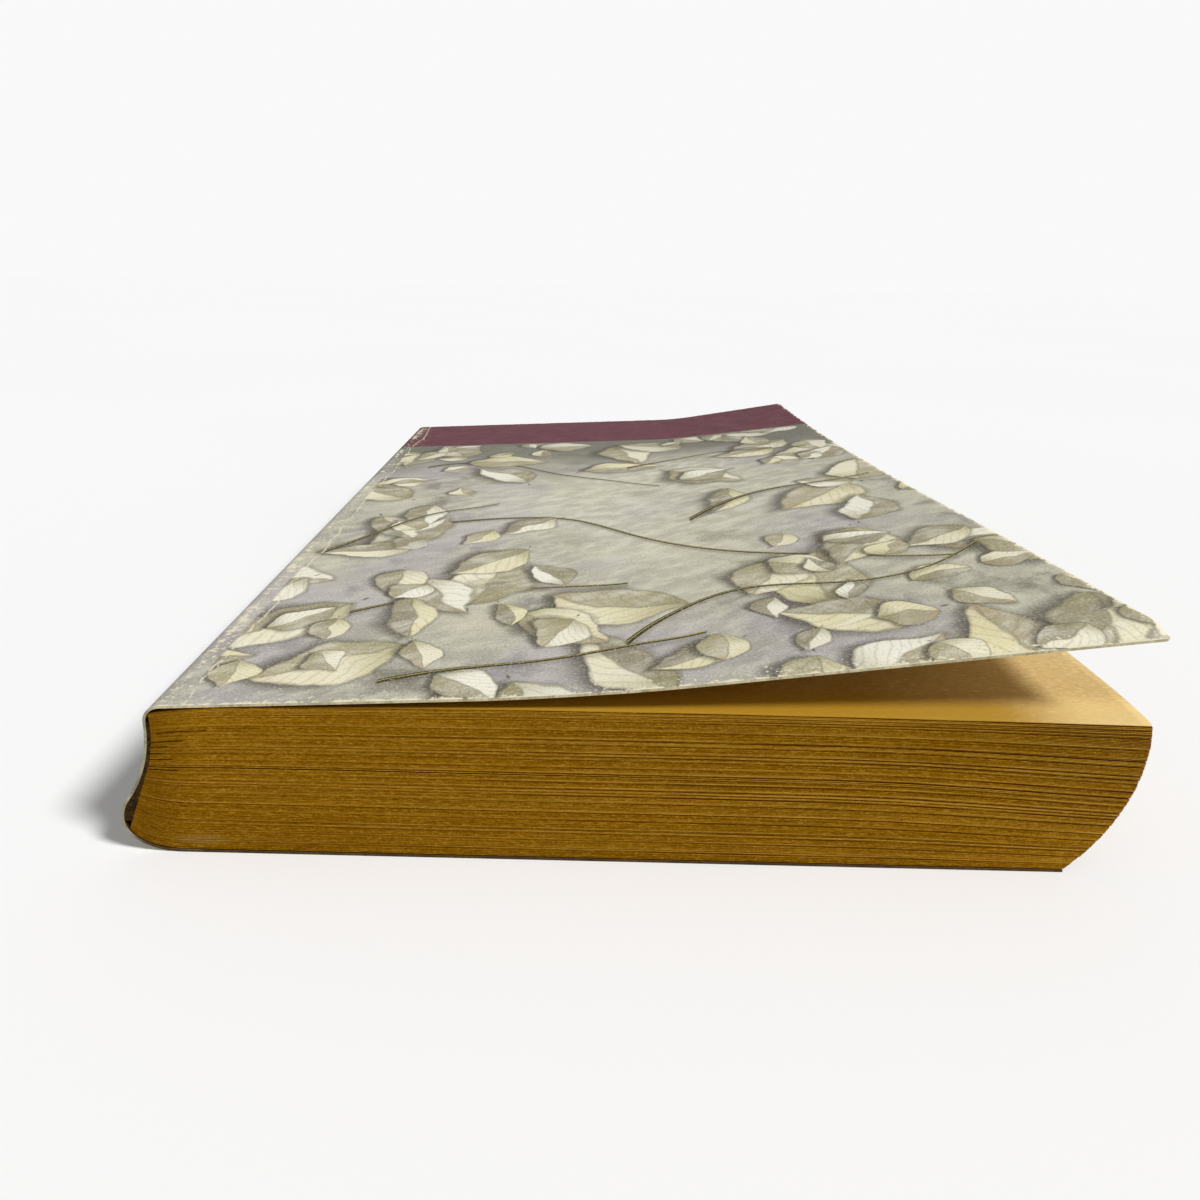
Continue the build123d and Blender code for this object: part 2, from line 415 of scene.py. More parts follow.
def leaf_face_finish():
    """Aged tan pulp paper, browned along the tail and the head; glue stain and painted shade by the spine,
    painted shade under the cover and in the gaps, painted light by the fore-edge.
    """
    paper = Finish("leaf_faces", Roughness=0.9, Specular_IOR_Level=0.05)
    x, y, _ = paper.place()
    along, leaf, _ = paper.attribute("leaf")
    flat = paper.point(x, y, 0.0)
    cloud = paper.noise(flat, 0.11, 3.0)
    mottle = paper.noise(flat, 1.6, 4.0, 0.65)
    fibre = paper.noise(paper.point(x * 0.9, y * 3.4, 0.0), 1.0, 3.0, 0.6)
    ends = paper.least(y - TAIL, HEAD - y)
    ragged = ends + mottle * 2 - 1
    # Painted light and shade: the paper is browner away from the fore-edge, where the cover's shadow falls,
    # and paler with stronger pale fibres by the fore-edge, where the sun falls
    fore = paper.step(10.0, 50.0, x + cloud * 14 - 7)
    # Browning along the tail and the head, deepened as painted shade where the cover's shadow falls and kept
    # off the fore-edge side
    toned_and_shaded = paper.step(15.0, 3.0, ends + cloud * 8 + mottle * 4 - 6.0)
    colour = paper.mix(fore, LEAF_SHADED_TAN, LEAF_SUNLIT_PALE)
    colour = paper.mix(toned_and_shaded * (1 - 0.8 * fore), colour, LEAF_TONE_AND_SHADE)
    colour = paper.mix(paper.step(0.42, 0.7, mottle) * 0.45, colour, LEAF_MOTTLE)
    colour = paper.mix(paper.step(0.5, 0.72, fibre) * (0.3 + 0.3 * fore), colour, LEAF_FIBRE)
    browned = 1 - paper.step(2.6, 6.5, ends + mottle)
    colour = paper.mix(browned * (0.85 - 0.75 * paper.step(36.0, 48.0, x)), colour, LEAF_BROWNED)
    # Painted pool of light on the tail and head margins by the fore-edge
    corner_light = paper.step(38.0, 49.0, x) * paper.step(7.0, 3.0, ragged)
    colour = paper.mix(corner_light * 0.5, colour, LEAF_CORNER_LIGHT)
    # Painted shade: under the top leaf, the faces that show in the gaps are dark near their edges
    edge = paper.least(ends, FORE_X + 1.0 - x)
    under_top = 1 - paper.step(LEAF_COUNT - 1.7, LEAF_COUNT - 1.3, leaf)
    colour = paper.mix(under_top * (1 - paper.step(1.0, 8.0, edge)) * 0.95, colour, LEAF_GAP_SHADE)
    # Painted shade at the tail and the head near the spine, and along the spine painted shade with glue stain
    corner = paper.step(48.0, 10.0, along) * paper.step(5.0, 1.5, ragged)
    gutter_shade_and_stain = 1 - paper.step(0.5, 9.0, along)
    colour = paper.mix(paper.most(corner * 0.85, gutter_shade_and_stain * 0.6), colour, LEAF_SHADE_AND_STAIN)
    paper.finish(Base_Color=colour)
    paper.bump(fibre * 0.6 + mottle * 0.4, 0.4, 0.08)
    return paper


# Finish of the adhesive

GLUE_DARK, GLUE_BROWN, GLUE_FIBRE = srgb(30, 18, 2), srgb(56, 37, 6), srgb(98, 70, 26)


def glue_finish():
    """Old brown adhesive with torn paper fibres in it."""
    glue = Finish("binding_glue", Roughness=0.8, Specular_IOR_Level=0.1)
    x, y, z = glue.place()
    lump = glue.noise(glue.point(x, y, z), 1.6, 3.0)
    fibre = glue.noise(glue.point(x * 4, y * 0.6, z * 4), 1.0, 2.0)
    colour = glue.mix(glue.step(0.3, 0.7, lump), GLUE_DARK, GLUE_BROWN)
    colour = glue.mix(glue.step(0.58, 0.7, fibre) * 0.6, colour, GLUE_FIBRE)
    glue.finish(Base_Color=colour)
    glue.bump(lump, 0.5, 0.15)
    return glue


# Printed design: a bare band at the head, and painted leaves and stems on a soft ground on the front cover

BAND = 30.0
BAND_EDGE = HEIGHT - BAND
HEART_ALONG, HEART_UP, HEART_SQUASH = 58.0, 78.0, 0.6  # bright middle of the cover, with fewer leaves
HEART_START, HEART_END = 18.0, 46.0
DUSK_DEPTH = 46.0  # how far under the band the ground darkens
GROUND_GREY, GROUND_PALE = srgb(166, 161, 150), srgb(200, 196, 174)
GROUND_STROKE, GROUND_PATCH, GROUND_HAZE = srgb(218, 214, 192), srgb(100, 93, 76), srgb(186, 179, 190)
HEART_DULL, HEART_BRIGHT = srgb(196, 192, 168), srgb(228, 225, 204)
DUSK, DUSK_OVER = srgb(104, 102, 92), srgb(104, 100, 84)
STEM_SHADOW, STEM_DARK, STEM_LIGHT = srgb(96, 90, 76), srgb(56, 49, 16), srgb(178, 166, 86)
PAINTED_SHADOW, PAINTED_STALK = srgb(76, 69, 54), srgb(94, 90, 50)
PAINTED_WHITE, PAINTED_CREAM = (247, 244, 226), srgb(234, 224, 176)
PAINTED_LIGHTER = (4, 4, 6)  # added to the white of the palest layers
PAINTED_DULL, PAINTED_SHADE = srgb(184, 175, 142), srgb(148, 140, 117)
PAINTED_STROKE, PAINTED_BASE, PAINTED_TIP = srgb(250, 247, 230), srgb(148, 140, 88), srgb(186, 154, 110)
PAINTED_VEIN, PAINTED_RIM = srgb(128, 118, 92), srgb(104, 95, 72)
PLUM_DARK, PLUM_LIGHT = srgb(100, 52, 62), srgb(116, 68, 77)
CANVAS_PALE, CANVAS_DARK = srgb(240, 236, 218), srgb(84, 78, 64)
BARE_CARD = srgb(230, 223, 194)

# Layers of painted leaves: seed, pitch, tilt, slimness, how few grow and how pale they are
LEAF_LAYERS = (
    (3.0, 31.0, 0.5, 0.16, 0.34, 0.0),
    (7.0, 26.0, 1.2, 0.17, 0.40, 0.4),
    (13.0, 21.0, -0.4, 0.19, 0.46, 0.8),
    (19.0, 16.0, 0.9, 0.20, 0.52, 1.0),
    (29.0, 11.0, 0.2, 0.21, 0.56, 1.0),
)
# Painted stems: start and end along the cover, height over the tail, slope, and swing and its pitch
LOW_STEMS = (
    (5.0, 52.0, 16.0, 0.45, 7.0, 10.0),
    (18.0, 96.0, 66.0, -0.40, 8.0, 13.0),
    (10.0, 62.0, 112.0, -0.30, 7.0, 11.0),
)
OVER_STEMS = (
    (50.0, 101.0, 10.0, 0.50, 6.0, 9.0),
    (3.0, 30.0, 50.0, 1.20, 6.0, 7.0),
    (64.0, 102.0, 60.0, 0.70, 7.0, 9.0),
    (56.0, 98.0, 104.0, 0.35, 6.0, 10.0),
    (22.0, 60.0, 4.0, 0.25, 4.0, 8.0),
)
STEM_SWAY = 14.0


def painted_leaf(card, along, up, layer, pitch, tilt, slim):
    """One painted leaf in each cell of a tilted lattice, in shares of the lattice's pitch."""
    across = (along * cos(tilt) + up * sin(tilt)) / pitch
    rise = (up * cos(tilt) - along * sin(tilt)) / pitch
    column, row = card.math("FLOOR", across), card.math("FLOOR", rise)
    seed = {"Vector": card.point(column, row, layer)}
    draw = card.node("TexWhiteNoise", {"noise_dimensions": "3D"}, seed, "Color")
    heading, tint, chance = card.split(draw)
    turn = heading * (2 * pi)
    east, north = card.math("COSINE", turn), card.math("SINE", turn)

    def outline(shift):
        """Run along the leaf, distance off its rib, share of its length and distance inside its outline."""
        dx = across - column - 0.4 - tint * 0.2 - shift * cos(tilt)
        dy = rise - row - 0.4 - chance * 0.2 + shift * sin(tilt)
        run = dx * east + dy * north
        side = dy * east - dx * north + (run * run - 0.05) * (0.9 * tint - 0.3)
        share = run / (0.31 + tint * 0.06)
        width = (1 - share * share) * (slim * (0.8 + chance * 0.45)) * (1.1 - share * 0.4)
        return run, side, share, width - abs(side)

    leaf = SimpleNamespace(tint=tint, chance=chance)
    run, leaf.side, leaf.share, leaf.margin = outline(0.0)
    off_rib = abs(leaf.side)
    leaf.shadow = outline(-0.045)[3]
    veins = card.step(0.5, 1.0, card.math("SINE", (run - off_rib * 1.2) * 70.0)) * 0.4
    leaf.veins = card.most(1 - card.step(0.004, 0.014, off_rib), veins)
    leaf.stalk = (1 - card.step(0.004, 0.012, off_rib)) * (1 - card.step(0.02, 0.1, abs(leaf.share + 1.18)))
    middle_x, middle_y = (column + 0.5) * pitch, (row + 0.5) * pitch
    leaf.cell = middle_x * cos(tilt) - middle_y * sin(tilt), middle_x * sin(tilt) + middle_y * cos(tilt)
    return leaf


def from_heart(along, up):
    """Distance from the bright middle of the cover."""
    return abs(along - HEART_ALONG) + abs(up - HEART_UP) * HEART_SQUASH


def printed_leaves(card, ground, along, up, stroke, on_front):
    """Layers of painted leaves over the ground, each with a soft shadow and two sides of different shade."""
    for seed, pitch, tilt, slim, few, light in LEAF_LAYERS:
        leaf = painted_leaf(card, along, up, seed, pitch, tilt, slim)
        thin = 1 - card.step(HEART_START, HEART_END, from_heart(*leaf.cell))
        grove = card.noise(card.point(*leaf.cell, seed * 10), 0.03, 2.0) - thin * 0.10
        shown = on_front * card.step(few, few + 0.002, grove)
        cast = card.most(card.step(-0.08, 0.05, leaf.shadow), card.step(-0.03, 0.0, leaf.margin) * 0.4)
        ground = card.mix(cast * shown * 0.8, ground, PAINTED_SHADOW)
        ground = card.mix(leaf.stalk * shown * 0.85, ground, PAINTED_STALK)
        white = srgb(*(base + more * light for base, more in zip(PAINTED_WHITE, PAINTED_LIGHTER)))
        pale = card.mix(leaf.tint, white, PAINTED_CREAM)
        dull = card.mix(leaf.chance, PAINTED_SHADE, PAINTED_DULL)
        colour = card.mix(card.step(-0.02, 0.03, leaf.side), dull, pale)
        colour = card.mix(card.step(0.4, 0.7, stroke) * 0.45, colour, PAINTED_STROKE)
        colour = card.mix(card.step(0.1, 1.0, -leaf.share) * 0.6, colour, PAINTED_BASE)
        tip = card.step(0.45, 1.0, leaf.share) * card.step(0.5, 0.7, leaf.chance)
        colour = card.mix(tip * 0.4, colour, PAINTED_TIP)
        colour = card.mix(leaf.veins * 0.5, colour, PAINTED_VEIN)
        colour = card.mix((1 - card.step(0.006, 0.03, leaf.margin)) * 0.55, colour, PAINTED_RIM)
        ground = card.mix(card.step(0.0, 0.012, leaf.margin) * shown, ground, colour)
    return ground


def printed_stems(card, ground, stems, along, up, on_front):
    """Thin painted stems over the ground, each with a soft shadow under it and a light along its top."""
    for start, end, foot, slope, swing, swing_pitch in stems:
        gone = along - start
        course = foot + gone * slope + swing * card.math("SINE", gone / swing_pitch)
        steep = slope + swing / swing_pitch * card.math("COSINE", gone / swing_pitch)
        away = (up - course) / card.math("SQRT", 1 + steep * steep)
        thin = 0.52 - 0.30 * gone / (end - start)
        grown = card.step(start, start + 0.5, along) * (1 - card.step(end - 0.5, end, along)) * on_front
        ground = card.mix((1 - card.step(0.1, 1.3, abs(away + 0.7))) * grown * 0.4, ground, STEM_SHADOW)
        ground = card.mix(card.step(thin + 0.1, thin - 0.04, abs(away)) * grown, ground, STEM_DARK)
        ground = card.mix(card.step(0.18, 0.05, abs(away - 0.15)) * grown * 0.8, ground, STEM_LIGHT)
    return ground


def edge_distance(card, along, up):
    """Distance to the nearest cut edge of the wrapper."""
    return card.least(up, HEIGHT - up, abs(along - COVER_REACH), abs(along - BACK_END))


def printed_wear(card, along, up, chip, grain):
    """Where pale card shows: chips at the edges and folds, flecks, a broken reading crease and scratches."""
    rubbed = card.noise(card.point(along * 0.5, up, 77.0), 0.07, 3.0, 0.6)
    fold = card.least(abs(along - 0.2), abs(along + FOLD_LENGTH) * 1.6, abs(along - ROLL_START))
    edge = edge_distance(card, along, up)
    edge_wear = card.step(0.0, 0.10, chip * 0.9 + grain * 0.25 - 0.46 - edge * 0.34)
    fold_wear = card.step(0.0, 0.12, chip * 0.8 + grain * 0.3 + rubbed * 0.6 - 0.83 - fold * 0.11)
    spot = card.noise(card.point(along, up, 83.0), 1.3, 2.0, 0.6)
    fleck = card.step(0.0, 0.05, spot - 0.58 - card.least(abs(along - 1.0), up) * 0.03)
    dash = card.noise(card.point(along * 0.3, up, 80.0), 0.6, 4.0, 0.7)
    waver = card.noise(card.point(0.0, up, 90.0), 0.06, 4.0, 0.6)
    crease = (1 - card.step(0.04, 0.26, abs(along - waver * 5.0))) * card.step(0.40, 0.52, dash)
    lines = card.noise(card.point(along * 0.25 + up * 0.07, up * 2.6 - along * 0.9, 5.0), 1.0, 2.0)
    scratch = card.step(0.72, 0.76, lines)
    return card.most(edge_wear, fold_wear, fleck * 0.85, crease * 0.8, scratch * 0.4)


def print_finish():
    """Printed face of the wrapper: a plum band over a soft ground with pale leaves, well worn."""
    card = Finish("printed_card", Specular_IOR_Level=0.25)
    along, up, _ = card.attribute("sheet")
    cloud = card.noise(card.point(along, up, 0.0), 0.035, 3.0, 0.6)
    stroke = card.noise(card.point(along * 0.16 + up * 0.10, up * 0.34 - along * 0.2, 3.0), 1.0, 4.0, 0.6)
    patch = card.noise(card.point(along, up, 9.0), 0.09, 4.0, 0.6)
    haze = card.noise(card.point(along, up, 15.0), 0.045, 2.0)
    ground = card.mix(card.step(0.35, 0.65, cloud), GROUND_GREY, GROUND_PALE)
    ground = card.mix(card.step(0.42, 0.66, stroke) * 0.6, ground, GROUND_STROKE)
    patched = card.step(0.54, 0.70, patch) * (0.35 + 0.3 * card.step(0.0, 3.0, along))
    ground = card.mix(patched, ground, GROUND_PATCH)
    ground = card.mix(card.step(0.44, 0.62, haze) * 0.42, ground, GROUND_HAZE)
    heart = 1 - card.step(HEART_START, HEART_END, from_heart(along, up) + (cloud - 0.5) * 50)
    bright = card.mix(card.step(0.35, 0.65, stroke), HEART_DULL, HEART_BRIGHT)
    ground = card.mix(heart * 0.65, ground, bright)
    clouded = up + (cloud - 0.5) * 90 + (stroke - 0.5) * 10
    dusk = card.step(BAND_EDGE - DUSK_DEPTH, BAND_EDGE, clouded)
    ground = card.mix(dusk * 0.85, ground, DUSK)
    # Design on the front cover
    on_front = card.step(1.5, 2.2, along) * card.step(0.2, 1.2, BAND_EDGE - 0.5 - up)
    sway = (card.noise(card.point(along, up, 29.0), 0.035, 0.0) - 0.5) * STEM_SWAY
    ground = printed_stems(card, ground, LOW_STEMS, along, up + sway, on_front)
    wobble = card.noise(card.point(along, up, 21.0), 0.12, 2.0) - 0.5
    drift = card.noise(card.point(along, up, 37.0), 0.12, 2.0) - 0.5
    ground = printed_leaves(card, ground, along + wobble * 5.0, up + drift * 5.0, stroke, on_front)
    ground = printed_stems(card, ground, OVER_STEMS, along, up - sway, on_front)
    ground = card.mix(dusk * dusk * 0.25, ground, DUSK_OVER)
    # Band at the head, round the whole wrapper, and the weave that shows in the print
    plum = card.mix(card.step(0.35, 0.7, stroke), PLUM_DARK, PLUM_LIGHT)
    band = card.step(-0.2, 0.2, up + (stroke - 0.5) * 0.5 - BAND_EDGE)
    ground = card.mix(band, ground, plum)
    canvas = card.noise(card.point(along, up, 50.0), 3.0, 3.0, 0.65)
    weave = 0.42 - 0.3 * band
    ground = card.mix(card.step(0.52, 0.7, canvas) * weave, ground, CANVAS_PALE)
    ground = card.mix(card.step(0.46, 0.3, canvas) * weave, ground, CANVAS_DARK)
    chip = card.noise(card.point(along, up, 63.0), 0.85, 4.0, 0.65)
    grain = card.noise(card.point(along, up, 71.0), 3.2, 3.0, 0.6)
    worn = printed_wear(card, along, up, chip, grain)
    colour = card.mix(worn, ground, BARE_CARD)
    card.finish(Base_Color=colour, Roughness=0.5 + worn * 0.35 + patch * 0.1)
    card.bump(canvas * 0.3 + chip * 0.2 - worn * 0.8 + grain * 0.15, 0.3, 0.06)
    return card


# Finishes of the wrapper's inside and of its cut edges

INSIDE_DULL, INSIDE_PALE, INSIDE_GRAIN = srgb(210, 192, 148), srgb(219, 202, 161), srgb(194, 175, 134)
INSIDE_YELLOWED, INSIDE_GLUED, INSIDE_BLOCK_SHADE = srgb(178, 142, 88), srgb(58, 38, 8), srgb(62, 34, 4)
# Cut edge of the card on the front cover, down the spine and along the back cover
RIM_PALE = srgb(208, 199, 164), srgb(172, 166, 142), srgb(94, 73, 42)
RIM_DULL = srgb(172, 160, 124), srgb(136, 128, 102), srgb(68, 52, 28)
RIM_DARK = srgb(124, 112, 86), srgb(100, 92, 70), srgb(40, 31, 20)


def card_inside_finish():
    """Plain inside of the wrapper, yellowed towards its edges, with painted shade along the back cover's
    edges under the leaves.
    """
    card = Finish("card_inside", Roughness=0.8, Specular_IOR_Level=0.2)
    along, up, _ = card.attribute("sheet")
    cloud = card.noise(card.point(along, up, 0.0), 0.06, 3.0)
    grain = card.noise(card.point(along, up, 7.0), 1.8, 3.0)
    edge = edge_distance(card, along, up)
    colour = card.mix(card.step(0.3, 0.7, cloud), INSIDE_DULL, INSIDE_PALE)
    colour = card.mix(card.step(0.45, 0.7, grain) * 0.25, colour, INSIDE_GRAIN)
    colour = card.mix((1 - card.step(0.0, 9.0, edge + cloud * 6)) * 0.5, colour, INSIDE_YELLOWED)
    glued = card.step(FLAT_START - 3.0, FLAT_START + 2.0, along) * (1 - card.step(HOLLOW_START, 0.0, along))
    colour = card.mix(glued, colour, INSIDE_GLUED)
    # Painted shade along the edges of the back cover's inside, under the leaves
    block_shade = card.step(2.2, 0.5, edge) * card.step(FLAT_START + 2.0, FLAT_START - 3.0, along)
    colour = card.mix(block_shade * 0.95, colour, INSIDE_BLOCK_SHADE)
    card.finish(Base_Color=colour)
    card.bump(grain, 0.25, 0.05)
    return card


def card_edge_finish():
    """Rubbed cut edge of the card: cream on the front cover, greyer down the spine, darker round the roll and
    along the back cover.
    """
    card = Finish("rubbed_edges", Roughness=0.85, Specular_IOR_Level=0.1)
    along, up, _ = card.attribute("sheet")
    dirt = card.noise(card.point(along, up, 3.0), 0.5, 4.0, 0.65)
    grain = card.noise(card.point(along, up, 13.0), 2.5, 2.0)
    front = card.step(-3.0, 1.0, along)
    low = card.step(ROLL_START - 1.0, ROLL_START - 5.0, along)

    def along_wrapper(cover, spine, foot):
        return card.mix(front, card.mix(low, spine, foot), cover)

    colour = card.mix(card.step(0.35, 0.65, dirt), along_wrapper(*RIM_PALE), along_wrapper(*RIM_DULL))
    colour = card.mix(card.step(0.45, 0.75, grain) * 0.5, colour, along_wrapper(*RIM_DARK))
    card.finish(Base_Color=colour)
    return card


# Shape of the leaves

def bound_edge(share):
    """Bound edge of the leaves, from the lowest to the top one: straight off the roll, then up the hollow."""
    foot = Vector((FLAT_X + ROLL_INNER.x * cos(LEAF_START), ROLL_RISE + ROLL_INNER.y * sin(LEAF_START)))
    radius = BOUND_TOP.x - HOLLOW_X
    away = foot - Vector((HOLLOW_X, FOLD_Z))
    angle = atan2(away.y, away.x) + atan2(sqrt(away.length_squared - radius ** 2), radius)
    touch = Vector((HOLLOW_X + radius * cos(angle), FOLD_Z + radius * sin(angle)))
    straight = (touch - foot).length
    round_part = -angle * radius
    gone = share * (straight + round_part + BOUND_TOP.y - FOLD_Z)
    if gone < straight:
        return foot.lerp(touch, gone / straight)
    if gone < straight + round_part:
        now = angle + (gone - straight) / radius
        return Vector((HOLLOW_X + radius * cos(now), FOLD_Z + radius * sin(now)))
    return Vector((BOUND_TOP.x, FOLD_Z + gone - straight - round_part))


def fore_edge(share):
    """Swollen, slanting fore-edge, from the lowest leaf to the top one."""
    chord = FORE_TOP - FORE_FOOT
    out = Vector((chord.y, -chord.x)).normalized()
    return FORE_FOOT.lerp(FORE_TOP, share) + out * FORE_BULGE * 4 * share * (1 - share)


ROLL_SAMPLES = 48
roll_turn = (1.5 * pi - LEAF_START) / ROLL_SAMPLES
roll_angles = [LEAF_START + roll_turn * index for index in range(ROLL_SAMPLES + 1)]
roll_line = [Vector((FLAT_X + ROLL_INNER.x * cos(a), ROLL_RISE + ROLL_INNER.y * sin(a))) for a in roll_angles]
roll_run = [0.0]
for start, end in zip(roll_line, roll_line[1:]):
    roll_run.append(roll_run[-1] + (end - start).length)


def lowest_leaf(share):
    """Lowest leaf, round the roll and along the floor."""
    gone = share * (roll_run[-1] + FORE_FOOT.x - FLAT_X)
    for index in range(ROLL_SAMPLES):
        if gone <= roll_run[index + 1]:
            part = (gone - roll_run[index]) / (roll_run[index + 1] - roll_run[index])
            return roll_line[index].lerp(roll_line[index + 1], part)
    return Vector((FLAT_X + gone - roll_run[-1], BLOCK_FLOOR))


def top_arch(x):
    """Height of the low arch of the top leaf."""
    low = SHOULDER if x < 0 else FORE_TOP
    return BLOCK_TOP + (low.y - BLOCK_TOP) * (x / low.x) ** 2


def top_leaf(share):
    """Top leaf: a dip at the bound edge, then a low arch to the fore-edge."""
    x = BOUND_TOP.x + share * (FORE_TOP.x - BOUND_TOP.x)
    z = top_arch(x)
    if x < SHOULDER.x:
        part = (SHOULDER.x - x) / (SHOULDER.x - BOUND_TOP.x)
        z += (BOUND_TOP.y - top_arch(BOUND_TOP.x)) * part ** 2
    return Vector((x, z))


ROLL_FADE = 2.2  # how fast the bow of the roll dies away in the leaves above it


def leaf_place(share, level):
    """Point of a leaf: share from the bound edge to the fore-edge, level from the lowest leaf to the top."""
    straight = bound_edge(level).lerp(fore_edge(level), share)
    low_bow = lowest_leaf(share) - lowest_leaf(0).lerp(lowest_leaf(1), share)
    top_bow = top_leaf(share) - top_leaf(0).lerp(top_leaf(1), share)
    return straight + low_bow * (1 - level) ** ROLL_FADE + top_bow * level


MIDDLE_SWELL = 0.02
FORE_CURL = 0.06


def fore_curl(share, level):
    """Change of level of a leaf that rises over the middle of the page and curls down at the fore-edge."""
    bow = MIDDLE_SWELL * smooth(0.3, 0.75, share) - FORE_CURL * smooth(0.72, 1.08, share)
    return bow * 4 * level * (1 - level)


# Leaves whose tail has torn back by the spine: number of the leaf, and where the tear starts and ends
SPLITS = ((107, 1.2, 6.2), (98, 0.0, 3.6), (93, 0.0, 1.8), (86, 0.0, 1.2), (80, 0.4, 2.2), (70, 0.6, 3.2))
SPLIT_DEPTH = 1.0


def split_depth(leaf, station):
    """How far the tail of a torn leaf has drawn back at a distance from the bound edge."""
    for number, start, end in SPLITS:
        if number == leaf:
            opened = smooth(start - 0.6, start + 0.4, station)
            return SPLIT_DEPTH * opened * (1 - smooth(end * 0.6, end, station))
    return 0.0


MARGIN_RISE = 0.8
MARGIN_BEND = 6.0


def margin_rise(x, inset, level):
    """How much higher the upper leaves stand inside the book than at their turned-down margins."""
    return MARGIN_RISE * smooth(-30.0, 40.0, x) * (1 - exp(-inset / MARGIN_BEND)) * smooth(0.55, 1.0, level)


# Bundles that the leaves part into at the fore-edge, smaller at the top of the book
BUNDLE_SIZES = (3, 4, 5, 6, 7, 8, 9)
TOP_BUNDLE_SIZES = (1, 2, 3)
TOP_BUNDLES_FROM = 116
BUNDLE_GAPS = (0.04, 0.12)
LEAF_GAPS = (0.012, 0.04)
BUNDLE_SETBACKS = (0.0, 0.05)
LEAF_SETBACKS = (0.0, 0.03)
END_SETBACKS = (0.0, 0.06)
END_SHARE = 0.4  # of a bundle's setback at the tail and the head
BUNDLE_TONES = (-0.12, 0.12)
LEAF_TONES = (-0.15, 0.15)
# Painted shade on the first leaf of each bundle and painted highlight on the next two, added to the leaves'
# random tones
PLACE_SHADE_AND_HIGHLIGHT = ((-0.3, -0.8), (0.5, 1.2), (0.2, 0.8))  # dark first leaf of a bundle, then two light ones
# The book falls open at one leaf, where a gap of some leaves' thickness runs from the spine to the fore-edge
OPEN_LEAF = 73
OPENING = 1.0
PARTING = 1.3  # how late the leaves part on their way to the fore-edge
CORNER_WEAR, TOP_CORNER_WEAR, CORNER_REACH = 0.06, 0.14, 1.6
# Columns of a leaf's mesh from the bound edge, and rows from the tail and from the head
STATIONS = (
    0.0, 0.5, 1.1, 1.8, 2.6, 3.6, 4.8, 6.2, 8.0, 11.0,
    20.0, 40.0, 60.0, 74.0, 82.0, 89.0, 95.0, 100.0, 103.5, 104.8, 106.0,
)
FORE_STATION = 92.0
MARGINS = (0.0, 0.6, 1.6, 3.2, 5.0, 7.0, 14.0)
ROWS = [TAIL + margin for margin in MARGINS] + [0.0] + [HEAD - margin for margin in reversed(MARGINS)]


def leaf_bundles(rng):
    """Gap of each leaf to the one below it at the fore-edge, and the number of its bundle."""
    gaps, bundles, left = [], [], 0
    for leaf in range(LEAF_COUNT):
        opens = left == 0
        if opens:
            left = rng.choice(BUNDLE_SIZES if leaf < TOP_BUNDLES_FROM else TOP_BUNDLE_SIZES)
        gaps.append(rng.uniform(*(BUNDLE_GAPS if opens else LEAF_GAPS)))
        bundles.append((bundles[-1] if bundles else 0) + opens)
        left -= 1
    gaps[0] = 0.0
    return gaps, bundles


def parted_levels(gaps):
    """Level of each leaf at the fore-edge, from the lowest to the top."""
    total = sum(gaps) + LEAF_COUNT * LEAF
    levels, height = [], 0.0
    for gap in gaps:
        height += gap + LEAF / 2
        levels.append(height / total)
        height += LEAF / 2
    return levels


def made_leaves():
    """Every leaf with its course through the book, its small setbacks, its tone with painted shade and
    highlight by its place in its bundle, and its worn corners.
    """
    rng = Random(11)
    gaps, bundles = leaf_bundles(rng)
    parted = parted_levels(gaps)
    bundle_backs = [rng.uniform(*BUNDLE_SETBACKS) for _ in range(bundles[-1] + 1)]
    bundle_tones = [rng.uniform(*BUNDLE_TONES) for _ in range(bundles[-1] + 1)]
    for number, bundle in enumerate(bundles):
        leaf = SimpleNamespace(number=number, places=[])
        leaf.level = (number + 0.5 + (OPENING if number >= OPEN_LEAF else 0.0)) / (LEAF_COUNT + OPENING)
        leaf.wear = CORNER_WEAR + TOP_CORNER_WEAR * smooth(0.9, 1.0, leaf.level)
        leaf.back = bundle_backs[bundle] + rng.uniform(*LEAF_SETBACKS)
        leaf.tail_in = rng.uniform(*END_SETBACKS) + bundle_backs[bundle] * END_SHARE
        leaf.head_in = rng.uniform(*END_SETBACKS) + bundle_backs[bundle] * END_SHARE
        leaf.tone = bundle_tones[bundle] + rng.uniform(*LEAF_TONES)
        place = number - bundles.index(bundle)
        if bundle > 1 and place < len(PLACE_SHADE_AND_HIGHLIGHT):
            leaf.tone += rng.uniform(*PLACE_SHADE_AND_HIGHLIGHT[place])
        for station in STATIONS:
            share = station / STATIONS[-1]
            level = leaf.level + (parted[number] - leaf.level) * share ** PARTING
            leaf.places.append(leaf_place(share, level + fore_curl(share, level)))
        yield leaf


def leaf_vertex(leaf, column, row):
    """Place and record of one vertex of a leaf."""
    spot, station = leaf.places[column], STATIONS[column]
    inset = min(ROWS[row] - TAIL, HEAD - ROWS[row])
    corner = leaf.wear * (1 - sqrt(max(0.0, 1 - (1 - min(1.0, inset / CORNER_REACH)) ** 2)))
    if row < len(MARGINS):
        depth = leaf.tail_in + split_depth(leaf.number, station)
        y = TAIL + depth + inset * (1 - depth / MARGINS[-1])
    elif ROWS[row] > 0:
        y = HEAD - leaf.head_in - inset * (1 - leaf.head_in / MARGINS[-1])
    else:
        y = 0.0
    x = spot.x - (leaf.back + corner) * smooth(FORE_STATION, STATIONS[-1], station)
    z = spot.y + margin_rise(spot.x, inset, leaf.level)
    return Vector((x, y, z)), Vector((station, leaf.number, leaf.tone))


